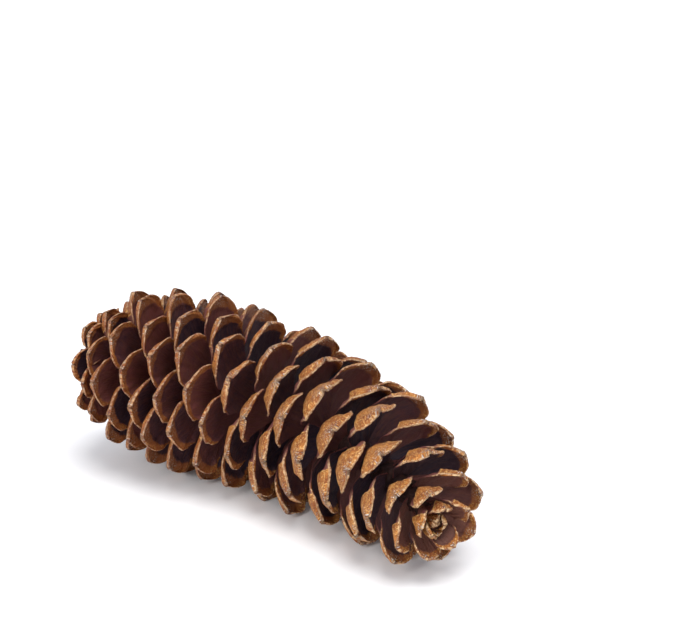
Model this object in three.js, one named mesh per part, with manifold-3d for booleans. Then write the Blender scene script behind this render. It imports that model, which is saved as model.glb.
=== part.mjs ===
import * as THREE from 'three';
import { mergeVertices } from 'three/addons/utils/BufferGeometryUtils.js';
import Module from 'manifold-3d';

// A very large open pine cone lying on its side. The woody core bends in a flat arc from the
// wide base to the narrower tip, and every scale grows out of it in one golden-angle spiral.
// Millimetres, +Z up, tip toward +X, the origin under the middle of the cone.

// Core
const CORE_LENGTH = 296;
const CORE_BEND = 57;
const CORE_BASE_HEIGHT = 57;
const CORE_TIP_HEIGHT = 31;
const CORE_SIDES = 8;
const CORE_RINGS = [-0.035, -0.005, 0, 0.1, 0.2, 0.3, 0.4, 0.5, 0.6, 0.7, 0.8, 0.9, 0.97, 1.02];

// Spiral
const SCALE_COUNT = 150;
const GOLDEN_ANGLE = 137.508;
const FIRST_ANGLE = 205;
const FIRST_SCALE_AT = 0.02;
const LAST_SCALE_AT = 0.985;

// Along the core, 0 at its base and 1 at its tip: [place, value]
const CORE_RADIUS = [[-0.035, 6.5], [-0.005, 8], [0, 10], [0.05, 10], [0.8, 8], [0.95, 7], [1.02, 3]];
const SCALE_LENGTH = [
  [0, 27], [0.05, 39], [0.12, 53], [0.22, 60], [0.4, 59.5], [0.55, 60.5], [0.7, 58.5],
  [0.85, 54], [0.93, 44], [1, 26],
];
const SCALE_WIDTH = [
  [0, 19], [0.05, 26], [0.12, 32], [0.22, 35], [0.5, 35], [0.75, 33], [0.85, 29],
  [0.93, 21], [1, 12],
];
const ROOT_ANGLE = [
  [0, 116], [0.08, 104], [0.2, 98], [0.35, 94], [0.45, 91], [0.55, 86], [0.7, 74],
  [0.85, 60], [0.93, 48], [1, 30],
];
const TIP_ANGLE = [
  [0, 108], [0.08, 98], [0.2, 91], [0.35, 80], [0.44, 56], [0.52, 38], [0.6, 28],
  [0.7, 22], [0.85, 23], [0.93, 26], [1, 14],
];
const SPACING = [[0, 0.4], [0.16, 0.95], [0.45, 1.05], [0.72, 1.45], [0.9, 2.2], [1, 1.8]];

// Along one scale, 0 on the core's middle line and 1 at its outer point
const BENDS_FROM = 0.3;
const WIDEST_AT = 0.7;
const ROOT_WIDTH_SHARE = 0.24;
const BLADE_THICKNESS = [[0, 4.2], [0.25, 3], [0.55, 2.2], [0.8, 2], [1, 1.9]];
const EDGE_THINNING = 0.4;
const SHIELD_STARTS_AT = 0.58;
const SHIELD_SWEEP = 0.24;
const SHIELD_THICKNESS = 4.2;
const SHIELD_STEP = 0.04;
const CUP_DEPTH = [[0, 0.056], [0.4, 0.26], [0.8, 0.3], [1, 0.26]];
const FULL_WIDTH = 36;
const LEAST_THICKNESS_SHARE = 0.75;
const UPPER_FACE_OFFSET = 1.2;
const SCALE_ROWS = [
  [[0.1, -0.7], [0.1, 0.7]],
  [[0.42, -0.8], [0.42, 0.8]],
  [[0.72, -1], [0.58, 0], [0.72, 1]],
  [[0.92, -1], [0.88, 0], [0.92, 1]],
  [[0.99, -1], [0.99, 1]],
];

// Small differences from scale to scale
const TURN_SPREAD = 5;
const ROOT_ANGLE_SPREAD = 6;
const TIP_ANGLE_SPREAD = 8;
const LENGTH_SPREAD = 0.08;
const WIDTH_SPREAD = 0.1;
const ROLL_SPREAD = 8;

// The lowest scale points are worn flat where the cone rests on them
const WORN_DEPTH = 2.4;

// Edges shorter than this, left where a scale meets the core, are closed up
const SHORTEST_EDGE = 0.02;

const radians = THREE.MathUtils.degToRad;

// Value of a [place, value] list at a place, straight between its points.
function along(list, place) {
  let k = 0;
  while (k < list.length - 2 && place > list[k + 1][0]) k += 1;
  const [x0, y0] = list[k];
  const [x1, y1] = list[k + 1];
  const share = THREE.MathUtils.clamp((place - x0) / (x1 - x0), 0, 1);
  return y0 + share * (y1 - y0);
}

// Seeded draw between -0.5 and 0.5 for one trait of one scale.
function draw(index, trait) {
  const x = Math.sin((index + 1) * 12.9898 + trait * 78.233) * 43758.5453;
  return x - Math.floor(x) - 0.5;
}

// Point of the core's bent middle line with its direction, its level side and its upper side.
function coreFrame(place) {
  const bend = radians(CORE_BEND);
  const radius = CORE_LENGTH / bend;
  const heading = bend / 2 - bend * place;
  const drop = CORE_TIP_HEIGHT - CORE_BASE_HEIGHT;
  const point = new THREE.Vector3(
    radius * (Math.sin(bend / 2) - Math.sin(heading)),
    radius * (Math.cos(heading) - Math.cos(bend / 2)),
    CORE_BASE_HEIGHT + drop * place,
  );
  const forward = new THREE.Vector3(Math.cos(heading), Math.sin(heading), drop / CORE_LENGTH).normalize();
  const side = new THREE.Vector3().crossVectors(forward, new THREE.Vector3(0, 0, 1)).normalize();
  const upper = new THREE.Vector3().crossVectors(side, forward);
  return { point, forward, side, upper };
}

// Places of the scales along the core: close together at the base, wider apart toward the tip.
function scalePlaces() {
  const places = [0];
  for (let i = 1; i < SCALE_COUNT; i += 1) {
    const before = along(SPACING, (i - 1) / (SCALE_COUNT - 1));
    const here = along(SPACING, i / (SCALE_COUNT - 1));
    places.push(places[i - 1] + (before + here) / 2);
  }
  const total = places[SCALE_COUNT - 1];
  return places.map((p) => FIRST_SCALE_AT + (LAST_SCALE_AT - FIRST_SCALE_AT) * (p / total));
}

// Everything that fixes the form of one scale.
function scaleForm(index, place) {
  const { point, forward, side, upper } = coreFrame(place);
  const turn = radians(FIRST_ANGLE - GOLDEN_ANGLE * index + TURN_SPREAD * draw(index, 0));
  const outward = side.clone().multiplyScalar(Math.cos(turn)).addScaledVector(upper, Math.sin(turn));
  return {
    point,
    forward,
    outward,
    sideways: new THREE.Vector3().crossVectors(forward, outward),
    rootAngle: radians(along(ROOT_ANGLE, place) + ROOT_ANGLE_SPREAD * draw(index, 1)),
    tipAngle: radians(along(TIP_ANGLE, place) + TIP_ANGLE_SPREAD * draw(index, 2)),
    length: along(SCALE_LENGTH, place) * (1 + LENGTH_SPREAD * draw(index, 3)),
    width: along(SCALE_WIDTH, place) * (1 + WIDTH_SPREAD * draw(index, 4)),
    roll: radians(ROLL_SPREAD * draw(index, 5)),
  };
}

// A scale widens from its root like a spoon and closes in a blunt round end.
function halfWidth(t, width) {
  const widening = ROOT_WIDTH_SHARE
    + (1 - ROOT_WIDTH_SHARE) * Math.sin((Math.PI / 2) * Math.min(t / WIDEST_AT, 1)) ** 1.6;
  const closing = Math.max((t - WIDEST_AT) / (1 - WIDEST_AT), 0);
  return (width / 2) * (t < WIDEST_AT ? widening : Math.sqrt(Math.max(1 - closing ** 3, 0)));
}

// The under face carries a thick three-cornered shield that thins toward the outer edge.
function thickness(t, v, width) {
  const aside = Math.abs(v);
  const start = SHIELD_STARTS_AT + SHIELD_SWEEP * aside;
  const blade = along(BLADE_THICKNESS, t) * (1 - EDGE_THINNING * aside ** 1.7);
  const share = t < start ? Math.max(1 - (start - t) / SHIELD_STEP, 0) : (1 - t) / (1 - start);
  const shield = SHIELD_THICKNESS * (1 - aside) ** 0.85 * share;
  return Math.max(width / FULL_WIDTH, LEAST_THICKNESS_SHARE) * (blade + shield);
}

// Point on the upper face (toward the cone's tip) or the under face of a scale. Its middle line
// leaves the core straight and then bends toward the cone's tip, and its sides curl up.
function scalePoint(form, t, v, under) {
  const curl = form.tipAngle - form.rootAngle;
  const angle = form.rootAngle + (curl * Math.max(t - BENDS_FROM, 0)) / (1 - BENDS_FROM);
  const stem = form.length * Math.min(t, BENDS_FROM);
  const radius = (form.length * (1 - BENDS_FROM)) / curl;
  let ahead = stem * Math.cos(form.rootAngle) + radius * (Math.sin(angle) - Math.sin(form.rootAngle));
  let out = stem * Math.sin(form.rootAngle) + radius * (Math.cos(form.rootAngle) - Math.cos(angle));
  const half = halfWidth(t, form.width);
  const flatX = v * half;
  const flatY = along(CUP_DEPTH, t) * half * v * v + UPPER_FACE_OFFSET
    - (under ? thickness(t, v, form.width) : 0);
  const across = flatX * Math.cos(form.roll) - flatY * Math.sin(form.roll);
  const raised = flatX * Math.sin(form.roll) + flatY * Math.cos(form.roll);
  ahead += Math.sin(angle) * raised;
  out -= Math.cos(angle) * raised;
  return form.point.clone()
    .addScaledVector(form.forward, ahead)
    .addScaledVector(form.outward, out)
    .addScaledVector(form.sideways, across);
}

// Closed surface from rings of points, each ring going the same way round.
function closedFromRings(rings) {
  const positions = [];
  rings.forEach((ring) => ring.forEach((p) => positions.push(p.x, p.y, p.z)));
  const n = rings[0].length;
  const faces = [];
  for (let r = 0; r < rings.length - 1; r += 1) {
    for (let k = 0; k < n; k += 1) {
      const a = r * n + k;
      const b = r * n + ((k + 1) % n);
      faces.push(a, b + n, b, a, a + n, b + n);
    }
  }
  const last = (rings.length - 1) * n;
  for (let k = 1; k < n - 1; k += 1) {
    faces.push(0, k, k + 1);
    faces.push(last, last + k + 1, last + k);
  }
  return { positions, faces };
}

// Triangles between two rows of points that may hold different numbers of points.
function strip(first, second, addFace) {
  let i = 0;
  let j = 0;
  while (i < first.length - 1 || j < second.length - 1) {
    const firstDone = i === first.length - 1;
    const secondDone = j === second.length - 1;
    if (firstDone || (!secondDone && second[j + 1].v <= first[i + 1].v)) {
      addFace(first[i], second[j], second[j + 1]);
      j += 1;
    } else {
      addFace(first[i], second[j], first[i + 1]);
      i += 1;
    }
  }
}

// One scale as a closed blade. Both faces are split into triangles alike.
function scaleSurface(form) {
  const positions = [];
  const addPoint = (t, v, under) => {
    positions.push(...scalePoint(form, t, v, under).toArray());
    return positions.length / 3 - 1;
  };
  const rows = SCALE_ROWS.map((row) => row.map(([t, v]) => (
    { v, upper: addPoint(t, v, false), under: addPoint(t, v, true) }
  )));
  const faces = [];
  const edgeWall = (a, b) => faces.push(a.upper, a.under, b.under, a.upper, b.under, b.upper);
  for (let r = 0; r < rows.length - 1; r += 1) {
    strip(rows[r], rows[r + 1], (a, b, c) => {
      faces.push(a.upper, b.upper, c.upper, a.under, c.under, b.under);
    });
    edgeWall(rows[r][0], rows[r + 1][0]);
    edgeWall(rows[r + 1].at(-1), rows[r].at(-1));
  }
  const outer = rows.at(-1);
  edgeWall(outer[0], outer.at(-1));
  edgeWall(rows[0].at(-1), rows[0][0]);
  return { positions, faces };
}

function coreSurface() {
  const rings = CORE_RINGS.map((place) => {
    const { point, side, upper } = coreFrame(place);
    const radius = along(CORE_RADIUS, place);
    const ring = [];
    for (let k = 0; k < CORE_SIDES; k += 1) {
      const turn = (2 * Math.PI * k) / CORE_SIDES;
      ring.push(point.clone()
        .addScaledVector(side, radius * Math.cos(turn))
        .addScaledVector(upper, radius * Math.sin(turn)));
    }
    return ring;
  });
  return closedFromRings(rings);
}

function asGeometry({ positions, faces }) {
  const geometry = new THREE.BufferGeometry();
  geometry.setAttribute('position', new THREE.Float32BufferAttribute(positions, 3));
  geometry.setIndex(faces);
  return geometry;
}

const wasm = await Module();
wasm.setup();

// Solid for joining and cutting, from a closed geometry.
function asSolid(geometry) {
  const bare = geometry.clone();
  bare.deleteAttribute('normal');
  bare.deleteAttribute('uv');
  const merged = mergeVertices(bare, 1e-4);
  const kept = [];
  for (let i = 0; i < merged.index.count; i += 3) {
    const [a, b, c] = [merged.index.getX(i), merged.index.getX(i + 1), merged.index.getX(i + 2)];
    if (a !== b && b !== c && a !== c) kept.push(a, b, c);
  }
  return new wasm.Manifold(new wasm.Mesh({
    numProp: 3,
    vertProperties: new Float32Array(merged.attributes.position.array),
    triVerts: new Uint32Array(kept),
  }));
}

function fromSolid(solid) {
  const mesh = solid.getMesh();
  const geometry = new THREE.BufferGeometry();
  geometry.setAttribute('position', new THREE.BufferAttribute(mesh.vertProperties, 3));
  geometry.setIndex(new THREE.BufferAttribute(mesh.triVerts, 1));
  return geometry;
}

// Joins solids pair by pair until one is left.
function joined(solids) {
  let list = solids;
  while (list.length > 1) {
    const next = [];
    for (let i = 0; i < list.length; i += 2) {
      next.push(i + 1 < list.length ? list[i].add(list[i + 1]) : list[i]);
    }
    list = next;
  }
  return list[0];
}

// The core and all its scales grown together.
function pineCone() {
  const scales = scalePlaces().map((place, index) => scaleSurface(scaleForm(index, place)));
  return joined([coreSurface(), ...scales].map((surface) => asSolid(asGeometry(surface))));
}

// Cuts off what lies under a level.
function wornFlat(solid, level) {
  const block = new THREE.BoxGeometry(3 * CORE_LENGTH, 3 * CORE_LENGTH, CORE_LENGTH);
  block.translate(0, 0, level - CORE_LENGTH / 2);
  return solid.subtract(asSolid(block));
}

// Moves a geometry so that the middle of its underside is the origin.
function settle(geometry) {
  geometry.computeBoundingBox();
  const { min, max } = geometry.boundingBox;
  return geometry.translate(-(min.x + max.x) / 2, -(min.y + max.y) / 2, -min.z);
}

const grown = pineCone();
const lowest = grown.boundingBox().min[2];
const cone = new THREE.Mesh(
  settle(fromSolid(wornFlat(grown, lowest + WORN_DEPTH).simplify(SHORTEST_EDGE))),
  new THREE.MeshStandardMaterial({ color: 0x6b3a1e, roughness: 0.65, metalness: 0 }),
);
cone.name = 'pine_cone';

const model = new THREE.Group();
model.add(cone);

export default model;
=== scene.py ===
import math

import bpy
import numpy as np
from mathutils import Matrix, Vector


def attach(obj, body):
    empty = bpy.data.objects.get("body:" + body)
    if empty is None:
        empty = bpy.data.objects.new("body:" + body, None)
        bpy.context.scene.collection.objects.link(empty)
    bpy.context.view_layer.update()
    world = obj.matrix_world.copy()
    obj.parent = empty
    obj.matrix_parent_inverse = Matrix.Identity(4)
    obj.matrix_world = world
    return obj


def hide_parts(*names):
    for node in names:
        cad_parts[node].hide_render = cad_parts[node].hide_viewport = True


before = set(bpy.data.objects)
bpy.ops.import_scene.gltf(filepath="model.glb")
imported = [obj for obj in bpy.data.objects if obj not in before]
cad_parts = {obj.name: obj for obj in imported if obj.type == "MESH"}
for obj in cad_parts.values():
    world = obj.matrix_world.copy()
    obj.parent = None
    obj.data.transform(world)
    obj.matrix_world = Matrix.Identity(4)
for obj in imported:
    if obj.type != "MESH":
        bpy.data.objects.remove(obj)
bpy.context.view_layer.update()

# A very large open pine cone lying on its side on a plain white floor. The scales stand where
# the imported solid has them, from the same driving values, and carry the finer forms and finishes.
# A small bud is added at the tip. Lengths are millimetres until a mesh is made, then metres, and
# angles are degrees. A ramp is a pair of values: none up to the first, full from the second.

# Core
CORE_LENGTH = 296
CORE_BEND = 57
CORE_BASE_HEIGHT = 57
CORE_TIP_HEIGHT = 31
CORE_RADIUS = [(-0.035, 6.5), (-0.005, 8), (0, 10), (0.05, 10), (0.8, 8), (0.95, 7), (1.02, 3)]
CORE_SIDES = 32
CORE_RINGS = 150
STALK_BULGE = 1.5
TIP_BULGE = 1.0

# Knobs on the core: rates round it and along it, and heights as shares of its radius
KNOB_RATES = (3, 130)
KNOB_HEIGHT = 0.07
FINE_KNOB_RATES = (9, 330)
FINE_KNOB_HEIGHT = 0.04

# Spiral
SCALE_COUNT = 150
GOLDEN_ANGLE = 137.508
FIRST_ANGLE = 205
FIRST_SCALE_AT = 0.02
LAST_SCALE_AT = 0.985

# Bud: more scales on the same spiral, which shrink, close and stand more unevenly
BUD_SCALES = 7
LAST_BUD_AT = 1.004
BUD_SHRINKS_BY = 0.5
BUD_CLOSES_BY = 0.6
BUD_CROOKEDNESS = 2.5

# Along the core, 0 at its base and 1 at its tip: (place, value)
SCALE_LENGTH = [(0, 27), (0.05, 39), (0.12, 53), (0.22, 60), (0.4, 59.5), (0.55, 60.5), (0.7, 58.5),
                (0.85, 54), (0.93, 44), (1, 26)]
SCALE_WIDTH = [(0, 19), (0.05, 26), (0.12, 32), (0.22, 35), (0.5, 35), (0.75, 33), (0.85, 29),
               (0.93, 21), (1, 12)]
ROOT_ANGLE = [(0, 116), (0.08, 104), (0.2, 98), (0.35, 94), (0.45, 91), (0.55, 86), (0.7, 74),
              (0.85, 60), (0.93, 48), (1, 30)]
TIP_ANGLE = [(0, 108), (0.08, 98), (0.2, 91), (0.35, 80), (0.44, 56), (0.52, 38), (0.6, 28),
             (0.7, 22), (0.85, 23), (0.93, 26), (1, 14)]
SPACING = [(0, 0.4), (0.16, 0.95), (0.45, 1.05), (0.72, 1.45), (0.9, 2.2), (1, 1.8)]

# Along one scale, 0 on the core's middle line and 1 at its outer point
BENDS_FROM = 0.3
WIDEST_AT = 0.7
ROOT_WIDTH_SHARE = 0.24
WIDENING_POWER = 1.6
CLOSING_POWER = 3
BLADE_THICKNESS = [(0, 4.2), (0.25, 3), (0.55, 2.2), (0.8, 2), (1, 1.9)]
EDGE_THINNING = 0.4
EDGE_THINNING_POWER = 1.7
SHIELD_STARTS_AT = 0.58
SHIELD_SWEEP = 0.24
SHIELD_THICKNESS = 4.2
SHIELD_SLOPE_POWER = 0.85
SHIELD_STEP = 0.04
CUP_DEPTH = [(0, 0.056), (0.4, 0.26), (0.8, 0.3), (1, 0.26)]
FULL_WIDTH = 36
LEAST_THICKNESS_SHARE = 0.75
UPPER_FACE_OFFSET = 1.2

# Small differences from scale to scale: degrees for angles, shares for sizes
TURN_SPREAD = 5
ROOT_ANGLE_SPREAD = 6
TIP_ANGLE_SPREAD = 8
LENGTH_SPREAD = 0.08
WIDTH_SPREAD = 0.1
ROLL_SPREAD = 8

# The seeded draw that each trait takes, and the first of the three that each ripple takes
TURN_DRAW, ROOT_ANGLE_DRAW, TIP_ANGLE_DRAW, LENGTH_DRAW, WIDTH_DRAW, ROLL_DRAW = range(6)
TONE_DRAW = 6
GRAIN_DRAW = 7
OUTLINE_DRAWS = 10
RIM_WAVE_DRAWS = 20
CRUMB_DRAWS = 30
KNOB_DRAWS = 40
FINE_KNOB_DRAWS = 50
KNOB_SEED = 3
FINE_KNOB_SEED = 5

# A draw is the fraction left of a long sine, and a ripple adds waves over two coordinates, each
# with its rate over the first, its rate over the second and its share
DRAW_INDEX_RATE = 12.9898
DRAW_TRAIT_RATE = 78.233
DRAW_LENGTH = 43758.5453
RIPPLE_WAVES = [(2.3, 1.9, 0.45), (4.1, -3.7, 0.3), (-7.3, 5.9, 0.25)]

# From the construction's own origin to the middle of the cone's underside
SETTLED_BY = np.array([-146.404, -28.162, 9.001])

# Mesh of a scale
SCALE_STARTS_AT = 0.1
SCALE_ENDS_AT = 0.9995
SHAFT_ROWS = 17
STEP_ROWS = 2
SHIELD_ROWS = 18
SHIELD_ROW_BUNCHING = 0.9
COLUMNS = 32
COLUMN_BUNCHING = 0.5
SCALE_GROUPS = 6
RIM_ROUNDNESS = 0.35
RIM_STANDS_OUT = 0.6

# Uneven outline and waved blade
OUTLINE_WAVE = 0.06
OUTLINE_WAVE_RATE = 7
OUTLINE_SIDE_SHIFT = 2
OUTLINE_WAVE_RAMP = (0.3, 0.7)
RIM_WAVE = 1.5
RIM_WAVE_RATES = (3, 4)
RIM_WAVE_RAMP = (0.25, 0.9)
MIDDLE_WAVE_SHARE = 0.3

# Relief of a scale: the seed wings' imprint, the ridge between them, the umbo and crumbs
IMPRINT_FROM = 0.4
IMPRINT_LENGTH = 0.455
IMPRINT_SIDE_SHARE = 0.955
IMPRINT_SQUARENESS = 5
IMPRINT_REACH = 1.02
IMPRINT_FALL = 16
IMPRINT_DEPTH = 0.9
IMPRINT_EDGE = (0, 1.4)
IMPRINT_ROOT_RAMP = (0.2, 0.45)
RIDGE_HEIGHT = 0.5
RIDGE_WIDTH = 1.6
RIDGE_ENDS = (0.45, 0.75)
UMBO_BEHIND_POINT = 1.5
UMBO_SPREAD_POWER = 1.3
UMBO_HEIGHT = 0.25
UMBO_RADIUS = 3.4
CRUMB_HEIGHT = 0.25
CRUMB_RATES = (0.9, 0.8)
SHIELD_CRUMBS = (-0.5, 1.5)
UPPER_CRUMB_SHARE = 0.8
UPPER_CRUMBS = (0.6, 0.9)
END_RIM_SLANT = 0.12

# What the finish reads where a distance has no meaning: on the other face and on the rim
NOT_HERE = -20
NOT_HERE_BELOW = -15
ON_RIM = -0.4
RIM_IMPRINT = -3
RIM_SHIELD = 3

# How far the grain is moved from scale to scale, and from the upper face to the under one
GRAIN_SHIFT = 900
UNDER_GRAIN_SHIFT = 37


def table(pairs, places):
    """Values of a (place, value) list at places, straight between its points."""
    xs, ys = zip(*pairs)
    return np.interp(places, xs, ys)


def draw(index, trait):
    """Seeded draw between -0.5 and 0.5 for one trait of one scale."""
    x = np.sin((index + 1) * DRAW_INDEX_RATE + trait * DRAW_TRAIT_RATE) * DRAW_LENGTH
    return x - np.floor(x) - 0.5


def ripple(a, b, index, first_draw):
    """Smooth seeded ripple between about -1 and 1 over two coordinates."""
    total = 0
    for k, (rate_a, rate_b, share) in enumerate(RIPPLE_WAVES):
        phase = 2 * np.pi * draw(index, first_draw + k)
        total = total + share * np.sin(rate_a * a + rate_b * b + phase)
    return total


def smooth_ramp(value, ramp):
    low, high = ramp
    share = np.clip((value - low) / (high - low), 0, 1)
    return share * share * (3 - 2 * share)


def core_frame(place):
    """Points of the core's bent middle line with its direction, level side and upper side."""
    bend = math.radians(CORE_BEND)
    radius = CORE_LENGTH / bend
    heading = bend / 2 - bend * place
    drop = CORE_TIP_HEIGHT - CORE_BASE_HEIGHT
    point = np.stack([
        radius * (math.sin(bend / 2) - np.sin(heading)),
        radius * (np.cos(heading) - math.cos(bend / 2)),
        CORE_BASE_HEIGHT + drop * place,
    ], -1)
    forward = np.stack([np.cos(heading), np.sin(heading), np.full_like(heading, drop / CORE_LENGTH)], -1)
    forward /= np.linalg.norm(forward, axis=-1, keepdims=True)
    side = np.cross(forward, [0, 0, 1])
    side /= np.linalg.norm(side, axis=-1, keepdims=True)
    return point, forward, side, np.cross(side, forward)


def scale_places():
    """Close together at the base, wider apart toward the tip, then the bud on the very end."""
    steps = table(SPACING, np.arange(SCALE_COUNT) / (SCALE_COUNT - 1))
    places = np.concatenate([[0], np.cumsum((steps[1:] + steps[:-1]) / 2)])
    grown = FIRST_SCALE_AT + (LAST_SCALE_AT - FIRST_SCALE_AT) * places / places[-1]
    bud = np.linspace(LAST_SCALE_AT, LAST_BUD_AT, BUD_SCALES + 1)[1:]
    return np.concatenate([grown, bud])


def scale_forms():
    """Everything that fixes the form of each scale, ready to meet a grid of rows and columns."""
    index = np.arange(SCALE_COUNT + BUD_SCALES)
    place = scale_places()
    in_bud = np.maximum(index - SCALE_COUNT + 1, 0) / BUD_SCALES
    size = 1 - BUD_SHRINKS_BY * in_bud
    opening = 1 - BUD_CLOSES_BY * in_bud
    crooked = 1 + BUD_CROOKEDNESS * np.minimum(2 * in_bud, 1)
    point, forward, side, upper = core_frame(place)
    turn = np.radians(FIRST_ANGLE - GOLDEN_ANGLE * index + TURN_SPREAD * draw(index, TURN_DRAW))
    outward = side * np.cos(turn)[:, None] + upper * np.sin(turn)[:, None]

    def angle(pairs, spread, trait):
        return np.radians(table(pairs, place) * opening + spread * crooked * draw(index, trait))

    longer = LENGTH_SPREAD * crooked * draw(index, LENGTH_DRAW)
    wider = WIDTH_SPREAD * draw(index, WIDTH_DRAW)
    numbers = {
        "index": index,
        "place": place,
        "root_angle": angle(ROOT_ANGLE, ROOT_ANGLE_SPREAD, ROOT_ANGLE_DRAW),
        "tip_angle": angle(TIP_ANGLE, TIP_ANGLE_SPREAD, TIP_ANGLE_DRAW),
        "length": table(SCALE_LENGTH, place) * size * (1 + longer),
        "width": table(SCALE_WIDTH, place) * size * (1 + wider),
        "roll": np.radians(ROLL_SPREAD * crooked * draw(index, ROLL_DRAW)),
    }
    vectors = {"point": point, "forward": forward, "outward": outward,
               "sideways": np.cross(forward, outward)}
    form = {name: values[:, None, None] for name, values in numbers.items()}
    form.update({name: values[:, None, None, :] for name, values in vectors.items()})
    return form


def shield_border(across):
    """Where the shield starts, further out toward the sides."""
    return SHIELD_STARTS_AT + SHIELD_SWEEP * np.abs(across)


def scale_grid():
    """Places along and across a scale. Rows follow the inner border of the shield, so that its
    edge stays sharp, and they crowd together at the outline."""
    even = np.linspace(-1, 1, COLUMNS + 1)
    across = COLUMN_BUNCHING * np.sin(even * np.pi / 2) + (1 - COLUMN_BUNCHING) * even
    border = shield_border(across)
    shaft = np.linspace(0, 1, SHAFT_ROWS, endpoint=False)[:, None]
    step = np.linspace(0, 1, STEP_ROWS, endpoint=False)[:, None]
    even = np.linspace(0, 1, SHIELD_ROWS + 1)[:, None]
    shield = SHIELD_ROW_BUNCHING * np.sin(even * np.pi / 2) + (1 - SHIELD_ROW_BUNCHING) * even
    along = np.concatenate([
        SCALE_STARTS_AT + (border - SHIELD_STEP - SCALE_STARTS_AT) * shaft,
        border - SHIELD_STEP + SHIELD_STEP * step,
        border + (SCALE_ENDS_AT - border) * shield,
    ])
    return along[None], np.broadcast_to(across, along.shape)[None]


def half_width(form, along, across):
    """A scale widens from its root like a spoon and closes in a rounded point."""
    opening = np.sin(np.pi / 2 * np.minimum(along / WIDEST_AT, 1)) ** WIDENING_POWER
    widening = ROOT_WIDTH_SHARE + (1 - ROOT_WIDTH_SHARE) * opening
    closing = np.clip((along - WIDEST_AT) / (1 - WIDEST_AT), 0, 1)
    outline = np.where(along < WIDEST_AT, widening, np.sqrt(1 - closing ** CLOSING_POWER))
    side = OUTLINE_SIDE_SHIFT * np.sign(across)
    uneven = ripple(OUTLINE_WAVE_RATE * along, side, form["index"], OUTLINE_DRAWS)
    uneven = uneven * smooth_ramp(along, OUTLINE_WAVE_RAMP)
    return form["width"] / 2 * outline * (1 + OUTLINE_WAVE * uneven)


def thickness(form, along, across):
    """The under face carries a thick three-cornered shield that thins toward the outer edge."""
    aside = np.abs(across)
    start = shield_border(across)
    blade = table(BLADE_THICKNESS, along) * (1 - EDGE_THINNING * aside ** EDGE_THINNING_POWER)
    rising = np.maximum(1 - (start - along) / SHIELD_STEP, 0)
    thinning = (1 - along) / (1 - start)
    share = np.where(along < start - 1e-9, rising, thinning)
    shield = SHIELD_THICKNESS * (1 - aside) ** SHIELD_SLOPE_POWER * share
    return np.maximum(form["width"] / FULL_WIDTH, LEAST_THICKNESS_SHARE) * (blade + shield)


def fields(form, along, across, half):
    """Distances in millimetres that the relief and the finish read: from the outline, inside the
    seed wings' imprint, beyond the shield's inner border, and from the umbo near the outer point,
    which is counted longer on a narrow scale."""
    beside = across * half
    behind = (1 - along) * form["length"]
    rim = np.minimum(half * (1 - np.abs(across)), behind + END_RIM_SLANT * np.abs(beside))
    lengthwise = np.maximum(along - IMPRINT_FROM, 0) / IMPRINT_LENGTH
    sidewise = np.abs(IMPRINT_SIDE_SHARE * across) ** IMPRINT_SQUARENESS
    inward = IMPRINT_REACH - np.sqrt(lengthwise ** 2 + sidewise)
    from_umbo = np.sqrt(beside ** 2 + (behind - UMBO_BEHIND_POINT) ** 2)
    return {
        "rim": rim,
        "imprint": np.broadcast_to(inward * IMPRINT_FALL, rim.shape),
        "shield": (along - shield_border(across)) * form["length"],
        "umbo": from_umbo * (FULL_WIDTH / form["width"]) ** UMBO_SPREAD_POWER,
        "beside": beside,
        "behind": behind,
    }


def scale_surface(form, along, across, half, raised):
    """Points of a face. Its middle line leaves the core straight and then bends toward the cone's
    tip, and its sides curl up."""
    root = form["root_angle"]
    curl = form["tip_angle"] - root
    angle = root + curl * np.maximum(along - BENDS_FROM, 0) / (1 - BENDS_FROM)
    stem = np.minimum(along, BENDS_FROM)
    arc = (1 - BENDS_FROM) / curl
    ahead = form["length"] * (stem * np.cos(root) + arc * (np.sin(angle) - np.sin(root)))
    out = form["length"] * (stem * np.sin(root) + arc * (np.cos(root) - np.cos(angle)))
    beside = across * half
    above = table(CUP_DEPTH, along) * half * across * across + raised
    rolled_beside = beside * np.cos(form["roll"]) - above * np.sin(form["roll"])
    rolled_above = beside * np.sin(form["roll"]) + above * np.cos(form["roll"])
    ahead = ahead + np.sin(angle) * rolled_above
    out = out - np.cos(angle) * rolled_above
    return (form["point"] + form["forward"] * ahead[..., None]
            + form["outward"] * out[..., None] + form["sideways"] * rolled_beside[..., None])


def reliefs(form, along, distance):
    """How far the upper and the under face stand out from their plain forms."""
    rate_beside, rate_behind = CRUMB_RATES
    crumbs = CRUMB_HEIGHT * ripple(rate_beside * distance["beside"], rate_behind * distance["behind"],
                                   form["index"], CRUMB_DRAWS)
    imprint = smooth_ramp(distance["imprint"], IMPRINT_EDGE) * smooth_ramp(along, IMPRINT_ROOT_RAMP)
    ridge = RIDGE_HEIGHT * np.exp(-(distance["beside"] / RIDGE_WIDTH) ** 2)
    ridge = ridge * (1 - smooth_ramp(along, RIDGE_ENDS))
    upper_crumbs = UPPER_CRUMB_SHARE * crumbs * smooth_ramp(along, UPPER_CRUMBS) * (1 - imprint)
    umbo = UMBO_HEIGHT * np.exp(-(distance["umbo"] / UMBO_RADIUS) ** 2)
    shield_crumbs = crumbs * smooth_ramp(distance["shield"], SHIELD_CRUMBS)
    return ridge - IMPRINT_DEPTH * imprint + upper_crumbs, umbo + shield_crumbs


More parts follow.
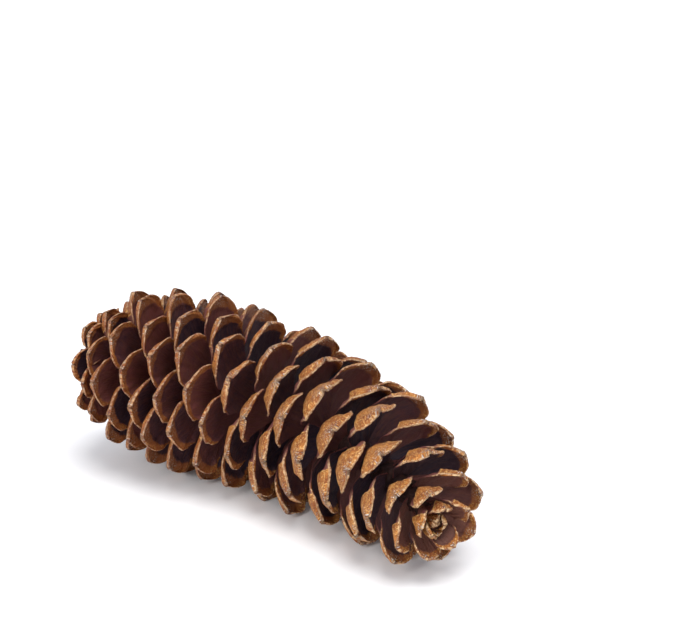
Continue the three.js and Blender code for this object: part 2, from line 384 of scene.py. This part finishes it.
def fine_scales():
    """Both faces of every scale, with the distances that the finish reads."""
    form = scale_forms()
    along, across = scale_grid()
    half = half_width(form, along, across)
    distance = fields(form, along, across, half)
    upper_relief, under_relief = reliefs(form, along, distance)
    rate_across, rate_along = RIM_WAVE_RATES
    wave = RIM_WAVE * ripple(rate_across * across, rate_along * along, form["index"], RIM_WAVE_DRAWS)
    wave = wave * smooth_ramp(along, RIM_WAVE_RAMP)
    wave = wave * (MIDDLE_WAVE_SHARE + (1 - MIDDLE_WAVE_SHARE) * across * across)
    raised = UPPER_FACE_OFFSET + wave
    upper = scale_surface(form, along, across, half, raised + upper_relief)
    lowered = raised - thickness(form, along, across) - under_relief
    under = scale_surface(form, along, across, half, lowered)
    return form, distance, upper, under


def border_path(rows, columns):
    """Grid points once round the outline of a face, from the root corner back to it."""
    path = [(r, 0) for r in range(rows)]
    path += [(rows - 1, c) for c in range(1, columns)]
    path += [(r, columns - 1) for r in range(rows - 2, -1, -1)]
    path += [(0, c) for c in range(columns - 2, 0, -1)]
    return np.array(path)


def scale_faces(rows, columns):
    """Quads of one scale: upper face, under face and a rounded rim between them."""
    number = np.arange(rows * columns).reshape(rows, columns)
    a, b, c, d = number[:-1, :-1], number[1:, :-1], number[1:, 1:], number[:-1, 1:]
    upper = np.stack([a, b, c, d], -1).reshape(-1, 4)
    under = np.stack([a, d, c, b], -1).reshape(-1, 4) + rows * columns
    path = border_path(rows, columns)
    edge = number[path[:, 0], path[:, 1]]
    following = np.roll(edge, -1)
    middle = 2 * rows * columns + np.arange(len(edge))
    next_middle = np.roll(middle, -1)
    upper_rim = np.stack([edge, middle, next_middle, following], -1)
    lower = rows * columns
    under_rim = np.stack([middle, edge + lower, following + lower, next_middle], -1)
    return np.concatenate([upper, under, upper_rim, under_rim])


def rim_points(upper, under, path):
    """Points half way down the rim, standing out from it."""
    high = upper[:, path[:, 0], path[:, 1]]
    low = under[:, path[:, 0], path[:, 1]]
    middle = (high + low) / 2
    run = np.roll(middle, -1, 1) - np.roll(middle, 1, 1)
    outward = np.cross(run, high - low)
    outward /= np.maximum(np.linalg.norm(outward, axis=-1, keepdims=True), 1e-9)
    stand_out = RIM_ROUNDNESS * np.linalg.norm(high - low, axis=-1, keepdims=True)
    return middle + outward * np.minimum(stand_out, RIM_STANDS_OUT)


def on_the_floor(points):
    """From construction millimetres to metres in the row frame, worn flat at the floor."""
    settled = (points + SETTLED_BY) / 1000
    settled[..., 2] = np.maximum(settled[..., 2], 0)
    return settled


def mesh_piece(name, points, faces, values, material):
    """A smooth mesh with float attributes on its points."""
    mesh = bpy.data.meshes.new(name)
    mesh.vertices.add(len(points))
    mesh.vertices.foreach_set("co", points.astype(np.float32).ravel())
    mesh.loops.add(faces.size)
    mesh.loops.foreach_set("vertex_index", faces.astype(np.int32).ravel())
    mesh.polygons.add(len(faces))
    mesh.polygons.foreach_set("loop_start", np.arange(0, faces.size, faces.shape[1], dtype=np.int32))
    mesh.update(calc_edges=True)
    mesh.validate()
    mesh.shade_smooth()
    for label, value in values.items():
        kind = "FLOAT_VECTOR" if value.ndim == 2 else "FLOAT"
        attribute = mesh.attributes.new(label, kind, "POINT")
        attribute.data.foreach_set("vector" if value.ndim == 2 else "value",
                                   value.astype(np.float32).ravel())
    mesh.materials.append(material)
    piece = bpy.data.objects.new(name, mesh)
    bpy.context.scene.collection.objects.link(piece)
    return piece


def finish_values(form, distance, path):
    """What the finish reads on the points of each scale: upper face, under face, then rim."""
    count, rows, columns = distance["rim"].shape
    face_points = rows * columns
    face = np.ones((count, face_points))
    edge = np.ones((count, len(path)))

    def joined(on_upper, on_under, on_rim):
        return np.concatenate([on_upper.reshape(count, -1), on_under.reshape(count, -1), on_rim], 1)

    def both(field):
        return joined(field, field, field[:, path[:, 0], path[:, 1]])

    def whole(number):
        return np.broadcast_to(number.reshape(count, 1), (count, 2 * face_points + len(path)))

    values = {
        "rim": joined(distance["rim"], distance["rim"], ON_RIM * edge),
        "imprint": joined(distance["imprint"], NOT_HERE * face, RIM_IMPRINT * edge),
        "shield": joined(NOT_HERE * face, distance["shield"], RIM_SHIELD * edge),
        "umbo": both(distance["umbo"]),
        "outer": both(1 - distance["behind"] / form["length"]),
        "seed": whole(draw(form["index"], TONE_DRAW) + 0.5),
        "place": whole(form["place"]),
    }
    shift = whole(draw(form["index"], GRAIN_DRAW) * GRAIN_SHIFT)
    values["grain"] = np.stack([both(distance["beside"]), both(distance["behind"]), shift], -1)
    values["grain"][:, face_points:2 * face_points, 2] += UNDER_GRAIN_SHIFT
    return values


def build_scales(material):
    """All scales, a few groups of them to a piece."""
    form, distance, upper, under = fine_scales()
    count, rows, columns = distance["rim"].shape
    path = border_path(rows, columns)
    rim = rim_points(upper, under, path)
    points = np.concatenate([upper.reshape(count, -1, 3), under.reshape(count, -1, 3), rim], 1)
    points = on_the_floor(points)
    values = finish_values(form, distance, path)
    faces = scale_faces(rows, columns)
    pieces = []
    for group, members in enumerate(np.array_split(np.arange(count), SCALE_GROUPS)):
        start = np.arange(len(members))[:, None, None] * points.shape[1]
        group_faces = (faces[None] + start).reshape(-1, 4)
        group_values = {label: value[members].reshape(-1, *value.shape[2:])
                        for label, value in values.items()}
        pieces.append(mesh_piece(f"scales_{group + 1}", points[members].reshape(-1, 3),
                                 group_faces, group_values, material))
    return pieces


def build_core(material):
    """Knobbly core with a blunt broken stalk behind it."""
    place = np.linspace(CORE_RADIUS[0][0], CORE_RADIUS[-1][0], CORE_RINGS)
    point, forward, side, upper = core_frame(place)
    turn = np.arange(CORE_SIDES) * 2 * np.pi / CORE_SIDES

    def knobs(rates, seed, first_draw):
        return ripple(rates[0] * turn[None], rates[1] * place[:, None], np.array(seed), first_draw)

    coarse = KNOB_HEIGHT * knobs(KNOB_RATES, KNOB_SEED, KNOB_DRAWS)
    fine = FINE_KNOB_HEIGHT * knobs(FINE_KNOB_RATES, FINE_KNOB_SEED, FINE_KNOB_DRAWS)
    radius = table(CORE_RADIUS, place)[:, None] * (1 + coarse + fine)
    ring = side[:, None] * np.cos(turn)[None, :, None] + upper[:, None] * np.sin(turn)[None, :, None]
    points = point[:, None] + ring * radius[..., None]
    stalk_end = points[0].mean(0) + forward[0] * STALK_BULGE
    tip_end = points[-1].mean(0) + forward[-1] * TIP_BULGE
    flat = on_the_floor(np.concatenate([points.reshape(-1, 3), [stalk_end, tip_end]]))
    number = np.arange(CORE_RINGS * CORE_SIDES).reshape(CORE_RINGS, CORE_SIDES)
    beside = np.roll(number, -1, 1)
    faces = np.concatenate([
        np.stack([number[:-1], number[1:], beside[1:]], -1).reshape(-1, 3),
        np.stack([number[:-1], beside[1:], beside[:-1]], -1).reshape(-1, 3),
        np.stack([np.full(CORE_SIDES, number.size), number[0], beside[0]], -1),
        np.stack([np.full(CORE_SIDES, number.size + 1), beside[-1], number[-1]], -1),
    ])
    return mesh_piece("core", flat, faces, {}, material)


class NodeTree:
    """Short names for the shader nodes that the materials use."""

    def __init__(self, name):
        self.material = bpy.data.materials.new(name)
        self.material.use_nodes = True
        self.tree = self.material.node_tree
        self.shader = self.tree.nodes["Principled BSDF"]

    def link(self, value, socket):
        if isinstance(value, bpy.types.NodeSocket):
            self.tree.links.new(value, socket)
        else:
            socket.default_value = value

    def attribute(self, name, output="Fac"):
        node = self.tree.nodes.new("ShaderNodeAttribute")
        node.attribute_name = name
        return node.outputs[output]

    def object_place(self):
        return self.tree.nodes.new("ShaderNodeTexCoord").outputs["Object"]

    def math(self, operation, a, b):
        node = self.tree.nodes.new("ShaderNodeMath")
        node.operation = operation
        self.link(a, node.inputs[0])
        self.link(b, node.inputs[1])
        return node.outputs[0]

    def add(self, a, b):
        return self.math("ADD", a, b)

    def minus(self, a, b):
        return self.math("SUBTRACT", a, b)

    def times(self, a, b):
        return self.math("MULTIPLY", a, b)

    def rest(self, share):
        return self.minus(1.0, share)

    def ramp(self, value, ramp):
        """0 up to the ramp's first value, 1 from its second, smooth between."""
        node = self.tree.nodes.new("ShaderNodeMapRange")
        node.interpolation_type = "SMOOTHSTEP"
        self.link(value, node.inputs["Value"])
        node.inputs["From Min"].default_value, node.inputs["From Max"].default_value = ramp
        return node.outputs["Result"]

    def mix(self, share, a, b):
        node = self.tree.nodes.new("ShaderNodeMix")
        node.data_type = "RGBA"
        self.link(share, node.inputs["Factor"])
        self.link(a, node.inputs["A"])
        self.link(b, node.inputs["B"])
        return node.outputs["Result"]

    def scaled(self, vector, scale):
        node = self.tree.nodes.new("ShaderNodeMapping")
        self.link(vector, node.inputs["Vector"])
        node.inputs["Scale"].default_value = scale
        return node.outputs["Vector"]

    def noise(self, vector, pattern):
        """Noise of a (rate, detail, roughness) pattern."""
        node = self.tree.nodes.new("ShaderNodeTexNoise")
        self.link(vector, node.inputs["Vector"])
        for name, value in zip(("Scale", "Detail", "Roughness"), pattern):
            node.inputs[name].default_value = value
        return node.outputs["Fac"]

    def cells(self, vector, rate):
        node = self.tree.nodes.new("ShaderNodeTexVoronoi")
        self.link(vector, node.inputs["Vector"])
        node.inputs["Scale"].default_value = rate
        return node.outputs["Distance"]

    def bump(self, height, distance, strength):
        node = self.tree.nodes.new("ShaderNodeBump")
        self.link(height, node.inputs["Height"])
        node.inputs["Distance"].default_value = distance
        node.inputs["Strength"].default_value = strength
        return node.outputs["Normal"]


# Linear colours
DARK_PURPLE = (0.042, 0.024, 0.042, 1)
DARK_RED = (0.205, 0.063, 0.056, 1)
SHAFT_BROWN = (0.200, 0.078, 0.042, 1)
TAN = (0.42, 0.150, 0.026, 1)
PALE_TAN = (0.76, 0.43, 0.145, 1)
RED_TAN = (0.25, 0.070, 0.014, 1)
FLECK_BROWN = (0.09, 0.026, 0.010, 1)
RIM_BROWN = (0.26, 0.085, 0.025, 1)
# Pale line along the scales' outer edges: partly wear, partly a painted highlight
EDGE_CREAM = (0.80, 0.56, 0.31, 1)
WORN_GOLD = (0.82, 0.50, 0.17, 1)
CRUST = (0.125, 0.062, 0.050, 1)
RESIN = (0.84, 0.78, 0.72, 1)
CORE_BROWN = (0.048, 0.023, 0.022, 1)
CORE_RED = (0.105, 0.042, 0.030, 1)
FLOOR_WHITE = (0.90, 0.90, 0.915, 1)
FLOOR_BRIGHT = (0.915, 0.915, 0.925, 1)

# Noises: rate to a millimetre on a scale and to a metre elsewhere, detail and roughness
BLOTCHES = (0.16, 3.0, 0.55)
SPECKS = (0.9, 4.0, 0.7)
FIBRES = (1.0, 4.0, 0.6)
FIBRE_RATES = (1.6, 0.09, 1.0)
WANDER = (0.35, 2.0, 0.55)
DOTS = (1.3, 3.0, 0.65)
SPOTS = (1.1, 3.0, 0.65)
EDGE_BREAKS = (0.45, 2.0, 0.55)
BORDER_BREAKS = (0.3, 2.0, 0.55)
CORE_LUMPS = (180.0, 4.0, 0.6)
CORE_CELLS = 320.0
FLOOR_CLOUD = (2.0, 2.0, 0.55)

# How far the wandering noise moves each border and the fibres fray one, in millimetres
IMPRINT_STRAY = 3.0
IMPRINT_FRAYING = 3.0
BAND_STRAY = 3.0
BORDER_STRAY = 0.7
EDGE_STRAY = 0.8
UMBO_STRAY = 9.0

# Ramps over places and distances
NEAR_TIP = (0.8, 0.98)
NEAR_BASE_ENDS = (0.3, 0.6)
OUTER_PART = (0.62, 0.8)
IN_IMPRINT = (-0.7, 0.4)
BAND_BROWNS = (1.5, 6.0)
ON_SHIELD = (-0.4, 0.1)
LINE_STARTS = (-0.2, 0.1)
LINE_ENDS = (0.5, 1.1)
EDGE_ENDS = (0.1, 0.7)
CRUST_ENDS = (1.0, 3.4)
RESIN_ENDS = (3.5, 10.0)

# Ramps over noises and tones
RED_FACES = (0.35, 1.1)
FACE_STREAKS = (0.45, 0.65)
SHAFT_STREAKS = (0.4, 0.7)
TAN_BLOTCHES = (0.38, 0.64)
RED_SHIELDS = (0.55, 1.0)
PALE_FLECKS = (0.53, 0.61)
DARK_DOTS = (0.56, 0.61)
LINE_PARTS = (0.38, 0.62)
EDGE_PARTS = (0.42, 0.6)
RESIN_SPOTS = (0.56, 0.62)
CORE_REDS = (0.35, 0.7)

# Shares of each layer
RED_BY_TONE = 0.75
RED_BY_BLOTCH = 0.5
LEAST_STREAKS = 0.25
MORE_STREAKS = 0.5
TIP_BROWNING = 0.6
RED_SHIELD_SHARE = 0.55
BASE_REDDENING = 0.6
FLECK_SHARE = 0.9
FLECKS_LOST_AT_BASE = 0.55
DOT_SHARE = 0.8
LINE_SHARE = 0.6
EDGE_SHARE = 0.8
EDGE_LOST_AT_BASE = 0.4
MARKS_LOST_AT_BASE = 0.5
CRUST_SHARE = 0.65
RESIN_SHARE = 0.85

# Gloss and small relief
WOOD_SPECULAR = 0.35
WOOD_ROUGHNESS = 0.62
RESIN_SMOOTHNESS = 0.35
IMPRINT_SMOOTHNESS = 0.1
ROUGHNESS_WANDER = 0.2
FIBRE_RELIEF = 0.7
SPECK_RELIEF = 0.9
RESIN_RELIEF = 0.8
WOOD_BUMP = (0.0009, 0.9)
CORE_ROUGHNESS = 0.6
CORE_ROUGHNESS_SPREAD = 0.25
CORE_BUMP = (0.0015, 0.8)
FLOOR_ROUGHNESS = 0.75
FLOOR_SPECULAR = 0.2


class ScaleFinish(NodeTree):
    """The finish of the scales, in layers that share a few noises and distances."""

    def __init__(self):
        super().__init__("cone_wood")
        self.grain = self.attribute("grain", "Vector")
        self.rim = self.attribute("rim")
        self.seed = self.attribute("seed")
        self.place = self.attribute("place")
        self.blotches = self.noise(self.grain, BLOTCHES)
        self.specks = self.noise(self.grain, SPECKS)
        self.fibres = self.noise(self.scaled(self.grain, FIBRE_RATES), FIBRES)
        self.wander = self.minus(self.noise(self.grain, WANDER), 0.5)
        self.near_base = self.rest(self.ramp(self.place, NEAR_BASE_ENDS))
        under = self.attribute("shield")
        self.border = self.strayed(under, BORDER_STRAY)
        self.on_upper = self.math("LESS_THAN", under, NOT_HERE_BELOW)
        frayed = self.times(self.minus(self.fibres, 0.5), IMPRINT_FRAYING)
        imprint = self.add(self.strayed(self.attribute("imprint"), IMPRINT_STRAY), frayed)
        self.in_imprint = self.ramp(imprint, IN_IMPRINT)

    def strayed(self, distance, by):
        return self.add(distance, self.times(self.wander, by))

    def dark_face(self):
        """Dark purple to dark red from scale to scale, streaked, and browner near the tip."""
        red = self.add(self.times(self.seed, RED_BY_TONE), self.times(self.blotches, RED_BY_BLOTCH))
        dark = self.mix(self.ramp(red, RED_FACES), DARK_PURPLE, DARK_RED)
        strength = self.add(LEAST_STREAKS, self.times(self.seed, MORE_STREAKS))
        streaks = self.times(self.ramp(self.fibres, FACE_STREAKS), strength)
        dark = self.mix(streaks, dark, SHAFT_BROWN)
        near_tip = self.ramp(self.place, NEAR_TIP)
        return self.mix(self.times(near_tip, TIP_BROWNING), dark, SHAFT_BROWN)

    def tan_wood(self):
        """Tan with red-brown blotches, pale flecks and dark dots, redder toward the base."""
        tan = self.mix(self.ramp(self.blotches, TAN_BLOTCHES), RED_TAN, TAN)
        tan = self.mix(self.times(self.ramp(self.seed, RED_SHIELDS), RED_SHIELD_SHARE), tan, RED_TAN)
        tan = self.mix(self.times(self.near_base, BASE_REDDENING), tan, RED_TAN)
        pale_share = self.minus(FLECK_SHARE, self.times(self.near_base, FLECKS_LOST_AT_BASE))
        tan = self.mix(self.times(self.ramp(self.specks, PALE_FLECKS), pale_share), tan, PALE_TAN)
        dots = self.ramp(self.noise(self.grain, DOTS), DARK_DOTS)
        return self.mix(self.times(dots, DOT_SHARE), tan, FLECK_BROWN)

    def upper_face(self, tan):
        """The seed wings' dark imprint inside a tan band that browns away from the outline."""
        inward = self.ramp(self.strayed(self.rim, BAND_STRAY), BAND_BROWNS)
        return self.mix(self.in_imprint, self.mix(inward, tan, RIM_BROWN), self.dark_face())

    def under_face(self, tan):
        """A tan shield beyond a dark shaft, with a broken worn line on the shield's inner border."""
        shaft = self.mix(self.ramp(self.fibres, SHAFT_STREAKS), DARK_RED, SHAFT_BROWN)
        line = self.ramp(self.border, LINE_STARTS)
        line = self.times(line, self.rest(self.ramp(self.border, LINE_ENDS)))
        worn = self.times(line, self.ramp(self.noise(self.grain, BORDER_BREAKS), LINE_PARTS))
        shield = self.mix(self.times(worn, LINE_SHARE), tan, WORN_GOLD)
        return self.mix(self.ramp(self.border, ON_SHIELD), shaft, shield)

    def edge_wear_and_highlight(self, colour):
        """Dark rim walls on the inner part, and a broken pale line on the outer part's edge that is
        partly wear and partly a painted highlight.
        """
        outer = self.ramp(self.attribute("outer"), OUTER_PART)
        on_rim = self.math("LESS_THAN", self.rim, 0.0)
        colour = self.mix(self.times(self.rest(outer), on_rim), colour, DARK_RED)
        # The pale line along the outline is partly worn wood and partly a painted highlight on the edge
        edge = self.rest(self.ramp(self.strayed(self.rim, EDGE_STRAY), EDGE_ENDS))
        edge = self.times(edge, outer)
        broken = self.times(edge, self.ramp(self.noise(self.grain, EDGE_BREAKS), EDGE_PARTS))
        share = self.minus(EDGE_SHARE, self.times(self.near_base, EDGE_LOST_AT_BASE))
        return self.mix(self.times(broken, share), colour, EDGE_CREAM)

    def umbo_marks(self, colour):
        """Brown crust and pale resin spots round the umbo, off the imprint, fewer at the base."""
        umbo = self.strayed(self.attribute("umbo"), UMBO_STRAY)
        off_imprint = self.rest(self.times(self.in_imprint, self.on_upper))
        kept = self.rest(self.times(self.near_base, MARKS_LOST_AT_BASE))
        marked = self.times(off_imprint, kept)
        crust = self.times(self.rest(self.ramp(umbo, CRUST_ENDS)), marked)
        colour = self.mix(self.times(crust, CRUST_SHARE), colour, CRUST)
        spots = self.ramp(self.noise(self.grain, SPOTS), RESIN_SPOTS)
        resin = self.times(self.times(spots, self.rest(self.ramp(umbo, RESIN_ENDS))), marked)
        return self.mix(self.times(resin, RESIN_SHARE), colour, RESIN), resin

    def gloss(self, resin):
        """Dry wood, smoother inside the imprint and on resin."""
        rough = self.minus(WOOD_ROUGHNESS, self.times(resin, RESIN_SMOOTHNESS))
        imprint = self.times(self.in_imprint, self.on_upper)
        rough = self.minus(rough, self.times(imprint, IMPRINT_SMOOTHNESS))
        return self.add(rough, self.times(self.wander, ROUGHNESS_WANDER))

    def small_relief(self, resin):
        """Raised fibres, specks and drops of resin."""
        height = self.add(self.times(self.fibres, FIBRE_RELIEF), self.times(self.specks, SPECK_RELIEF))
        return self.bump(self.add(height, self.times(resin, RESIN_RELIEF)), *WOOD_BUMP)


def scale_material():
    """Tan shields and rims, dark purple-brown faces, pale resin round the outer points."""
    n = ScaleFinish()
    tan = n.tan_wood()
    colour = n.mix(n.on_upper, n.under_face(tan), n.upper_face(tan))
    colour, resin = n.umbo_marks(n.edge_wear_and_highlight(colour))
    n.link(colour, n.shader.inputs["Base Color"])
    n.link(n.gloss(resin), n.shader.inputs["Roughness"])
    n.link(n.small_relief(resin), n.shader.inputs["Normal"])
    n.shader.inputs["Specular IOR Level"].default_value = WOOD_SPECULAR
    return n.material


def core_material():
    """Rough dark brown wood with redder lumps."""
    n = NodeTree("core_wood")
    where = n.object_place()
    lumps = n.noise(where, CORE_LUMPS)
    rough = n.add(CORE_ROUGHNESS, n.times(lumps, CORE_ROUGHNESS_SPREAD))
    height = n.add(lumps, n.cells(where, CORE_CELLS))
    n.link(n.mix(n.ramp(lumps, CORE_REDS), CORE_BROWN, CORE_RED), n.shader.inputs["Base Color"])
    n.link(rough, n.shader.inputs["Roughness"])
    n.link(n.bump(height, *CORE_BUMP), n.shader.inputs["Normal"])
    return n.material


def floor_material():
    """Plain white with a hardly visible cloud."""
    n = NodeTree("white_floor")
    cloud = n.noise(n.object_place(), FLOOR_CLOUD)
    n.link(n.mix(cloud, FLOOR_WHITE, FLOOR_BRIGHT), n.shader.inputs["Base Color"])
    n.shader.inputs["Roughness"].default_value = FLOOR_ROUGHNESS
    n.shader.inputs["Specular IOR Level"].default_value = FLOOR_SPECULAR
    return n.material


# Studio: places and sizes in metres, the camera's lens and sensor in millimetres
CAMERA_AT = (0.6816, -0.7296, 0.4470)
CAMERA_LOOKS_AT = (0.0001, 0.0642, 0.1071)
CAMERA_LENS = 87.0
CAMERA_SENSOR = 36
CAMERA_REACH = 60
FLOOR_HALF = 12.0
SKY_COLOUR = (0.88, 0.92, 1, 1)
SKY_STRENGTH = 0.72
SUN_FROM = (0.5, -0.15, 1.6)
SUN_COLOUR = (1, 0.99, 0.97)
SUN_STRENGTH = 2.2
SUN_SPREAD = 38
PANEL_AT = (0.15, -1.5, 0.9)
PANEL_AIMS_AT = (0, 0, 0.05)
PANEL_COLOUR = (1, 0.98, 0.95)
PANEL_SIZE = 0.9
PANEL_WATTS = 14


def aimed(obj, at, target):
    obj.location = at
    obj.rotation_euler = (Vector(target) - Vector(at)).to_track_quat("-Z", "Y").to_euler()
    bpy.context.scene.collection.objects.link(obj)


def build_camera():
    data = bpy.data.cameras.new("camera")
    data.sensor_width = CAMERA_SENSOR
    data.lens = CAMERA_LENS
    data.clip_end = CAMERA_REACH
    camera = bpy.data.objects.new("camera", data)
    aimed(camera, CAMERA_AT, CAMERA_LOOKS_AT)
    bpy.context.scene.camera = camera


def build_floor():
    h = FLOOR_HALF
    corners = np.array([(-h, -h, 0), (h, -h, 0), (h, h, 0), (-h, h, 0)])
    floor = mesh_piece("floor", corners, np.array([[0, 1, 2, 3]]), {}, floor_material())


def build_sky():
    world = bpy.data.worlds.new("studio")
    world.use_nodes = True
    background = world.node_tree.nodes["Background"]
    background.inputs["Color"].default_value = SKY_COLOUR
    background.inputs["Strength"].default_value = SKY_STRENGTH
    bpy.context.scene.world = world


def build_sun():
    sun = bpy.data.lights.new("soft_sun", "SUN")
    sun.energy = SUN_STRENGTH
    sun.angle = math.radians(SUN_SPREAD)
    sun.color = SUN_COLOUR
    aimed(bpy.data.objects.new("soft_sun", sun), SUN_FROM, (0, 0, 0))


def build_front_panel():
    panel = bpy.data.lights.new("front_panel", "AREA")
    panel.shape = "DISK"
    panel.size = PANEL_SIZE
    panel.energy = PANEL_WATTS
    panel.color = PANEL_COLOUR
    aimed(bpy.data.objects.new("front_panel", panel), PANEL_AT, PANEL_AIMS_AT)


def main():
    build_camera()
    build_sky()
    build_sun()
    build_front_panel()
    build_floor()
    pieces = build_scales(scale_material())
    pieces.append(build_core(core_material()))
    for piece in pieces:
        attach(piece, "root")
        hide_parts("pine_cone")
    bpy.context.scene.view_settings.view_transform = "Standard"


main()
